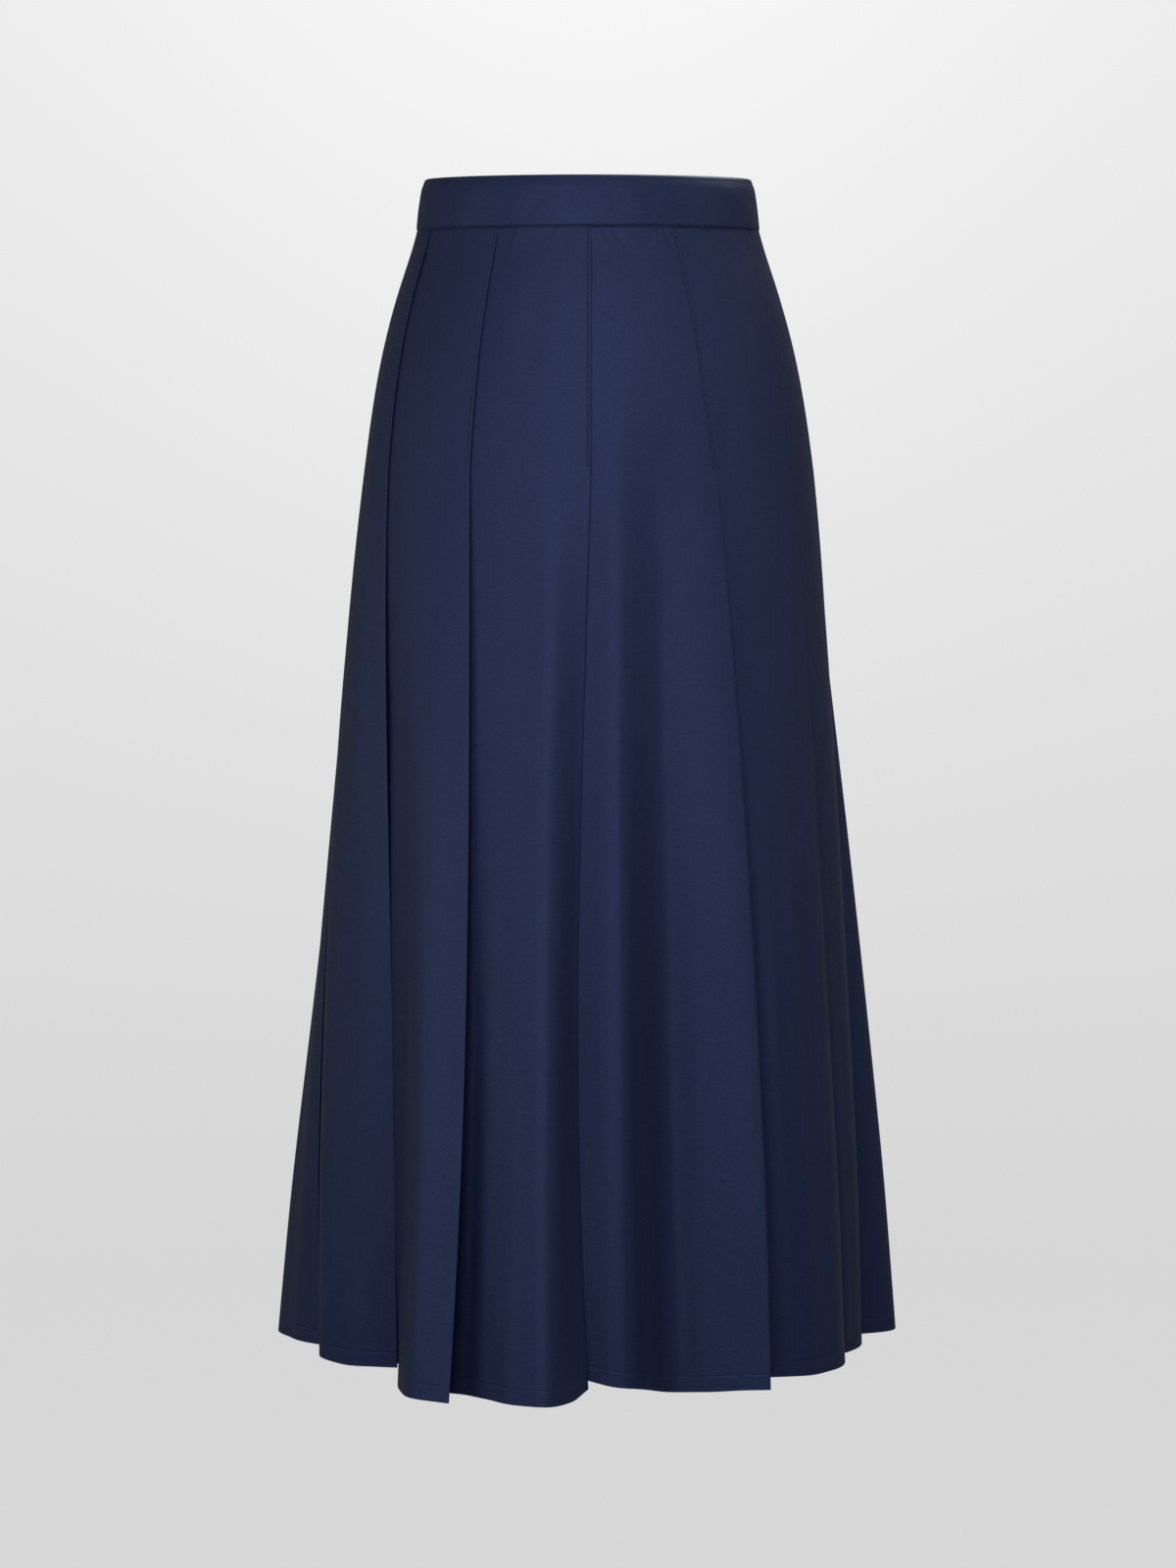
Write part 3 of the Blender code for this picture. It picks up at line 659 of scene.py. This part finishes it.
def stitching(row):
    """Rings (n, SIDES, 3) of a thread that lies on a gore beside its crease and dips into
    the cloth between stitches: circles round a line that rises and falls with a cosine."""
    back = np.full((len(BELOW), 1), STITCH_IN)
    point, _, normal = along_lap(faces[row], back)
    spots = np.concatenate([point, height(point)[..., None]], axis=-1)[SEWN_RINGS, 0]
    below = np.arange(FIRST_STITCH, STITCHED, STITCH / PER_STITCH)
    centre = np.stack([np.interp(below, BELOW[SEWN_RINGS], spots[:, k]) for k in range(3)], -1)
    out = -normal[SEWN_RINGS, 0]
    out = np.stack([np.interp(below, BELOW[SEWN_RINGS], out[:, k]) for k in range(2)], -1)
    out = np.concatenate([out, np.zeros((len(below), 1))], axis=-1)
    side = np.stack([-out[:, 1], out[:, 0], np.zeros(len(below))], axis=-1)
    beat = np.cos(2 * np.pi * below / STITCH)
    hole = np.clip((beat - HOLE_BEAT) / (1 - HOLE_BEAT), 0, 1)
    lift = CLOTH_OUT + THREAD * (LIES - DIPS * hole)
    aside = np.clip(1 - (STITCHED - below) / TURNS_OFF, 0, 1) * (STITCH_IN - OFF_FOLD)
    centre = centre + out * lift[:, None] + side * aside[:, None]
    ring = np.linspace(0, 2 * np.pi, SIDES, endpoint=False)
    round_it = np.cos(ring)[:, None] * out[:, None] + np.sin(ring)[:, None] * side[:, None]
    return centre[:, None] + THREAD * round_it


def tubes(name, runs, material):
    """One object from several round tubes, each given by its rings (n, sides, 3): a sleeve
    of four-sided faces from ring to ring, with a cap at each end."""
    faces, first = [], 0
    for rings in runs:
        count, sides = rings.shape[:2]
        index = first + np.arange(count * sides).reshape(count, sides)
        after = np.roll(index, -1, axis=1)
        sleeve = np.stack([index[:-1], index[1:], after[1:], after[:-1]], axis=-1)
        faces += sleeve.reshape(-1, 4).tolist() + [index[0].tolist(), index[-1, ::-1].tolist()]
        first += count * sides
    return solid(name, np.concatenate([rings.reshape(-1, 3) for rings in runs]), faces, material)


def yarn(name, colour, twist):
    """Twisted yarn: fine slanting plies as bump, with a painted highlight on each ply's crest and
    painted shade between plies.
    """
    material, tree, shader = new_finish(name)
    place = tree.nodes.new("ShaderNodeTexCoord").outputs["Object"]
    plies = tree.nodes.new("ShaderNodeTexWave")
    plies.bands_direction = "DIAGONAL"
    plies.inputs["Scale"].default_value = twist
    tree.links.new(place, plies.inputs["Vector"])
    # Painted light: the colour follows the ply wave, lighter on each crest and darker in the
    # grooves between.
    dye(tree, shader, colour, math(tree, "MULTIPLY_ADD", plies.outputs["Fac"], 0.5, 0.75))
    wound = bumped(tree, plies.outputs["Fac"], 0.00005)
    tree.links.new(wound.outputs["Normal"], shader.inputs["Normal"])
    shader.inputs["Roughness"].default_value = 0.45
    return material


thread = yarn("thread", (0.030, 0.042, 0.105), 3000)
runs = [stitching(row) for row in range(len(GORES)) if row != ZIP_GORE]
edge_stitching = tubes("edge_stitching", runs, thread)
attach(edge_stitching, "skirt")


# The waistband: one strip folded over at the top, one leaf outside the gore tops and one
# inside, its ends meeting at centre back with a slit for the zip. Interfacing keeps it
# smooth, but for a few shallow strains, and it rolls in to the seam at its foot.
BAND_LEAN = 0.0050      # how far the band leans in from its seam to its top
SLIT = 0.0018
INNER_DROP = 0.0015     # the inner leaf reaches this far below the seam
LEAF_OUT, LEAF_IN = 0.00135, -0.0040        # the two leaves, out from the form
BAND_STEPS = 360        # columns of faces round the band
LEG_STEPS = 22          # and rows of them up each leaf
TOP_STEPS = 12          # and over the top
BAND_HALF = 0.0003      # half the thickness of a leaf
BULGE = 0.0004          # how far the outer leaf swells between its fold and its foot
ROLL = 0.0009           # how far its foot turns in, over about as much height
SHOULDER = 0.0012       # how far it rounds in below the fold
SHOULDER_TALL = 0.0035  # over about this height
STRAINS = (
    # turn in degrees, metres above the seam, slope, stands out in mm, half length and half
    # width in mm
    (-58, 0.026, 0.35, -0.40, 22, 4.5),
    (-44, 0.012, -0.25, 0.35, 26, 4.0),
    (-24, 0.020, 1.60, 0.40, 12, 3.0),
    (-17, 0.018, 1.40, -0.40, 12, 3.0),
    (-4, 0.010, -0.90, 0.35, 10, 2.6),
    (9, 0.016, -1.80, -0.40, 12, 2.8),
    (15, 0.020, -1.50, 0.40, 12, 3.0),
    (31, 0.012, 0.90, -0.40, 12, 3.0),
    (39, 0.014, 1.10, 0.40, 11, 3.0),
    (60, 0.022, -0.30, 0.35, 22, 4.0),
    (104, 0.016, 0.30, -0.35, 26, 4.5),
    (146, 0.024, -0.35, 0.35, 24, 4.0),
    (-98, 0.020, -0.30, 0.30, 26, 4.5),
    (-150, 0.014, 0.40, -0.35, 24, 4.0),
)


def at_waist(turn, out, rise):
    """Points of the band: the seam's oval moved `out` along its normals and `rise` up,
    leaning in as it rises."""
    turn, out, rise = np.broadcast_arrays(turn, out, rise)
    out = out - BAND_LEAN * rise / BAND_TALL
    wide, deep = SECTIONS[1][1], SECTIONS[1][3]
    normal = np.stack([deep * np.sin(turn), -wide * np.cos(turn)], axis=-1)
    normal /= np.linalg.norm(normal, axis=-1, keepdims=True)
    plan = np.stack([wide * np.sin(turn), -deep * np.cos(turn)], axis=-1)
    plan = plan + out[..., None] * normal
    z = rise - BAND_TALL - DIP * np.cos(turn)
    return np.concatenate([plan, z[..., None]], axis=-1)


def band_face(off):
    """Outs and rises of one face of the folded strip, `off` from its middle, from the foot
    of the inner leaf over the top, a half circle, to the foot of the outer leaf."""
    round_top = np.linspace(np.pi, 0, TOP_STEPS + 1)
    radius = (LEAF_OUT - SHOULDER - LEAF_IN) / 2
    top = BAND_TALL - BAND_HALF - radius
    outs = (LEAF_OUT - SHOULDER + LEAF_IN) / 2 + (radius + off) * np.cos(round_top)
    rises = top + (radius + off) * np.sin(round_top)
    up = 1 - np.cos(np.linspace(0, np.pi / 2, LEG_STEPS, endpoint=False))
    inner_leg = -INNER_DROP + (rises[0] + INNER_DROP) * up
    outer_leg = (rises[-1] * up)[::-1]
    swell = SHOULDER * (1 - np.exp(-((top - outer_leg) / SHOULDER_TALL)**2))
    swell += BULGE * np.sin(np.pi * outer_leg / top) - ROLL * np.exp(-(outer_leg / ROLL)**2)
    outs = np.concatenate([np.full(LEG_STEPS, outs[0]), outs, outs[-1] + swell])
    return outs, np.concatenate([inner_leg, rises, outer_leg])


def strained(turn, rise):
    """How far the outer leaf stands out at each point: a slanting bell for each strain."""
    stands = 0.0
    for middle, above, slope, high, long, half in STRAINS:
        x = (turn - np.radians(middle)) * SECTIONS[1][1] * 1000
        y = (rise - above) * 1000
        along = (x + slope * y) / np.hypot(1, slope)
        off = (y - slope * x) / np.hypot(1, slope)
        stands = stands + high * np.exp(-(along / long)**2 - (off / half)**2)
    return stands / 1000


end = np.pi - SLIT / 2 / SECTIONS[1][1]
turns = np.linspace(-end, end, BAND_STEPS + 1)
leaves = []
for off in (BAND_HALF, -BAND_HALF):
    outs, rises = band_face(off)
    outside = np.arange(len(outs)) >= LEG_STEPS + TOP_STEPS
    outs = outs[:, None] + strained(turns, rises[:, None]) * outside[:, None]
    leaves.append(at_waist(turns, outs, rises[:, None]))
outer, inner = leaves
up_strip = np.linalg.norm(np.diff(outer, axis=0), axis=-1)
round_strip = np.linalg.norm(np.diff(outer, axis=1), axis=-1)
u = np.concatenate([np.zeros((len(outer), 1)), round_strip.cumsum(axis=1)], axis=1)
v = np.concatenate([np.zeros((1, len(turns))), up_strip.cumsum(axis=0)])
band_satin = satin("band satin", NAVY, weave)
band = shell("waistband_satin", outer, inner, band_satin, {"cloth": np.stack([v, u], axis=-1)})
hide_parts("waistband")
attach(band, "skirt")


# The zip: two woven tapes against the innermost layer at centre back, with a nylon coil sewn
# along the edge of each. The coils meet behind the slit in the band.
TAPE_WIDE = 0.024       # over both tapes
TAPE_HALF = 0.00035     # half their thickness
LAYERS = 0.00135        # a layer of the solids' cloth, with its gap
TAPE = (
    # rise above the band seam, layers in from the face
    (0.0340, 4.5),
    (0.0180, 4.5),
    (-0.0030, 5.5),
    (-0.0110, 3.6),
    (-0.0200, 3.4),
    (-0.0450, 3.4),
    (-0.0750, 3.4),
    (-0.1050, 3.4),
    (-0.1400, 3.4),
    (0.0040 - STITCHED, 3.4),
)
TAPE_STEPS = 220        # rings down a tape
TAPE_COLUMNS = 12       # and points across it
COIL_STEP = 0.0012      # from one turn of the coil to the next
COIL_OUT, COIL_DEEP = 0.0010, 0.0007        # half its width and depth
COIL_WIRE = 0.00028     # radius of its nylon
COIL_APART = 0.0001     # its middle is this far past the slit's edge
COIL_BEHIND = 0.0008    # its middle is this far behind the tape's inner face
COIL_SHORT = 0.001      # it starts and ends this far from the tape's ends
COIL_SIDES, COIL_RINGS = 5, 10


def tape_spot(rise, across, off):
    """Points of the tape `across` from centre back and `off` out from its own middle: on
    the form's oval, so many layers in, and down its line to the hem."""
    rise, across, off = np.broadcast_arrays(rise, across, off)
    knots, layers = np.array(TAPE)[::-1].T
    below = np.maximum(-rise, 0)
    wide = np.interp(below, BELOW, WIDE)
    deep = np.interp(below, BELOW, BACK)
    y = deep * np.sqrt(1 - (across / wide)**2) - np.interp(rise, knots, layers) * LAYERS
    y = y - BAND_LEAN * np.maximum(rise, 0) / BAND_TALL + off
    part = below / SKIRT_LONG
    seam = -BAND_TALL + DIP
    hung = seam * (1 - part) - (BAND_TALL + SKIRT_LONG) * part
    return np.stack([-across, y, np.where(rise > 0, seam + rise, hung)], axis=-1)


def coil(side):
    """Rings of one coil: an oval helix whose turns reach out to the slit's middle."""
    coil_long = TAPE[0][0] - TAPE[-1][0] - 2 * COIL_SHORT
    turns = np.arange(0, coil_long / COIL_STEP, 1 / COIL_RINGS)
    angle = 2 * np.pi * turns + (np.pi if side > 0 else 0)
    rise = TAPE[0][0] - COIL_SHORT - COIL_STEP * turns
    across = side * (SLIT / 2 + COIL_APART - COIL_OUT * np.cos(angle))
    spots = tape_spot(rise, across, COIL_DEEP * np.sin(angle) - TAPE_HALF - COIL_BEHIND)
    ahead = np.gradient(spots, axis=0)
    ahead /= np.linalg.norm(ahead, axis=-1, keepdims=True)
    side_on = np.cross(ahead, (0.0, 0.0, 1.0))
    side_on /= np.linalg.norm(side_on, axis=-1, keepdims=True)
    up = np.cross(side_on, ahead)
    ring = np.linspace(0, 2 * np.pi, COIL_SIDES, endpoint=False)
    around = np.cos(ring)[:, None] * side_on[:, None] + np.sin(ring)[:, None] * up[:, None]
    return spots[:, None] + COIL_WIRE * around


tape_weave = satin("zip tape", (0.012, 0.017, 0.042), weave)
nylon = yarn("nylon coil", (0.020, 0.026, 0.060), 1500)
rises = np.linspace(TAPE[0][0], TAPE[-1][0], TAPE_STEPS)[:, None]
for label, side in (("left", -1), ("right", 1)):
    across = side * np.linspace(SLIT / 2, TAPE_WIDE / 2, TAPE_COLUMNS)[::side]
    outer, inner = (tape_spot(rises, across, off) for off in (TAPE_HALF, -TAPE_HALF))
    uv = np.stack(np.broadcast_arrays(across, rises), axis=-1)
    tape = shell(f"zip_tape_{label}", outer, inner, tape_weave, {"cloth": uv})
    teeth = tubes(f"zip_coil_{label}", [coil(side)], nylon)
    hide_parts("zip_tape")
    middle = outer[:, TAPE_COLUMNS // 2 - 1]
    for piece in (tape, teeth):
        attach(piece, "skirt")


# The slider and its pull: die-cast metal under navy enamel, which is worn a little in
# patches. The pull swings on the slider's bail.
ENAMEL = (0.030, 0.036, 0.065)


def enamel(name):
    """Glossy enamel with faint orange peel, paler and rougher where it is worn."""
    material, tree, shader = new_finish(name)
    place = tree.nodes.new("ShaderNodeTexCoord").outputs["Object"]
    peel = noise(tree, place, (900, 900, 900), 2)
    wear = noise(tree, place, (260, 260, 260), 3)
    dye(tree, shader, ENAMEL, math(tree, "MULTIPLY_ADD", wear, 0.8, 0.6))
    tree.links.new(math(tree, "MULTIPLY_ADD", wear, 0.3, 0.15), shader.inputs["Roughness"])
    shader.inputs["Metallic"].default_value = 0.5
    pitted = bumped(tree, peel, 0.0002, strength=0.3)
    tree.links.new(pitted.outputs["Normal"], shader.inputs["Normal"])
    return material


coat = enamel("enamel")
for name in ("zip_slider", "zip_pull"):
    bpy.data.objects[name].data.materials[0] = coat


# The floor and backdrop: one pale sweep of paper, bowl-shaped, so it stands behind the
# skirt from every side. Its light is painted in as a glow, paler towards the top as if lit from
# above.
SWEEP_FLOOR = -1.6
SWEEP_RADIUS = 7.0
SWEEP_TALL = 7.0
SWEEP_START = 0.01      # radius of the hole left in the floor, under the skirt
SWEEP_STEPS = 96        # round the axis
BEND = 3.0              # radius of the curve from the floor up into the wall
BEND_STEPS = 24
# The next sets the half width of the painted pool of light on the wall behind the skirt.
PAINTED_GLOW_HALF = 1.613       # half width of the paler stretch behind the skirt


def paper():
    """Matt paper with its light painted in: paler by a power of the height, and by a bell
    across the middle of the wall behind the skirt that grows with the height."""
    material, tree, shader = new_finish("paper")
    split = tree.nodes.new("ShaderNodeSeparateXYZ")
    tree.links.new(tree.nodes.new("ShaderNodeTexCoord").outputs["Object"], split.inputs[0])
    high = math(tree, "SUBTRACT", split.outputs["Z"], SWEEP_FLOOR)
    rise = math(tree, "MULTIPLY_ADD", math(tree, "POWER", high, 0.8), 0.058, 0.66)
    # Painted pool of light across the middle of the wall behind the skirt, growing with the
    # height.
    painted_glow = math(tree, "MULTIPLY", bell(tree, split.outputs["X"], 0, PAINTED_GLOW_HALF), high)
    light = math(tree, "MULTIPLY_ADD", painted_glow, 0.030, rise)
    shader.inputs["Base Color"].default_value = (0.05, 0.05, 0.05, 1)
    shader.inputs["Roughness"].default_value = 1.0
    shader.inputs["Specular IOR Level"].default_value = 0.0
    tree.links.new(light, shader.inputs["Emission Color"])
    shader.inputs["Emission Strength"].default_value = 1.0
    return material


def sweep():
    """A profile (floor, quarter bend, wall) turned about the Z axis."""
    bend = np.linspace(-np.pi / 2, 0, BEND_STEPS)
    curve = SWEEP_RADIUS - BEND + BEND * np.cos(bend)
    r = np.concatenate([[SWEEP_START, 1, 2], curve, [SWEEP_RADIUS]])[:, None]
    z = np.concatenate([[0, 0, 0], BEND + BEND * np.sin(bend), [SWEEP_TALL]]) + SWEEP_FLOOR
    turn = np.linspace(0, 2 * np.pi, SWEEP_STEPS + 1)
    round_axis = (r * np.cos(turn), r * np.sin(turn), z[:, None])
    points = np.stack(np.broadcast_arrays(*round_axis), axis=-1)
    rings, columns = points.shape[:2]
    index = np.arange(rings * columns).reshape(rings, columns)
    quads = np.stack([index[:-1, :-1], index[:-1, 1:], index[1:, 1:], index[1:, :-1]], axis=-1)
    floor = solid("sweep", points.reshape(-1, 3), quads.reshape(-1, 4), paper())
    floor.visible_diffuse = False
    floor.visible_glossy = False
    floor.visible_shadow = False
    return floor


sweep()


# The lights: a wide bank of softboxes from the left round to the right, brightest just left
# of the camera; two high ones over the hips; a stronger one high up behind; and the white
# room's own glow.
BOX_WIDE = 1.2
AIMED_AT = Vector((0, 0, -0.42))    # the middle of the skirt
SOFTBOXES = (
    # name, place, watts
    ("far_left", (-2.93, 0.52, 0.0), 2),
    ("left", (-2.79, -1.02, 0.0), 6),
    ("near_left", (-2.28, -1.91, 0.0), 8),
    ("front_low", (-0.52, -2.93, 0.0), 11),
    ("front", (-0.56, -2.64, 0.90), 13),
    ("near_right", (0.92, -2.53, 0.90), 11),
    ("right", (2.34, -1.35, 0.90), 8),
    ("side", (2.93, -0.52, 0.0), 3),
    ("high", (0.0, -2.12, 1.70), 6),
    ("high_left", (-1.84, -1.06, 1.70), 3),
    ("behind", (1.06, 1.06, 2.18), 45),
)


def softbox(name, place, power):
    """A square area light at `place`, facing the middle of the skirt."""
    data = bpy.data.lights.new(name, "AREA")
    data.size = BOX_WIDE
    data.energy = power
    light = bpy.data.objects.new(name, data)
    light.location = place
    light.rotation_euler = (AIMED_AT - Vector(place)).to_track_quat("-Z", "Y").to_euler()
    light.visible_camera = False
    bpy.context.scene.collection.objects.link(light)


for name, place, power in SOFTBOXES:
    softbox(name, place, power)
world = bpy.data.worlds.new("studio")
world.use_nodes = True
world.node_tree.nodes["Background"].inputs["Color"].default_value = (1, 1, 1, 1)
world.node_tree.nodes["Background"].inputs["Strength"].default_value = 0.12
bpy.context.scene.world = world
bpy.context.scene.view_settings.view_transform = "Standard"


# The camera: a longish lens in front of the skirt, near the height of its middle, tipped
# down by TILT_DEG.
TILT_DEG = 1.9
camera_data = bpy.data.cameras.new("camera")
camera_data.sensor_fit = "VERTICAL"
camera_data.sensor_height = 36.0
camera_data.lens = 67.5
camera = bpy.data.objects.new("camera", camera_data)
camera.location = (0, -2.19, -0.375)
camera.rotation_euler = (np.radians(90 - TILT_DEG), 0, 0)
bpy.context.scene.collection.objects.link(camera)
bpy.context.scene.camera = camera
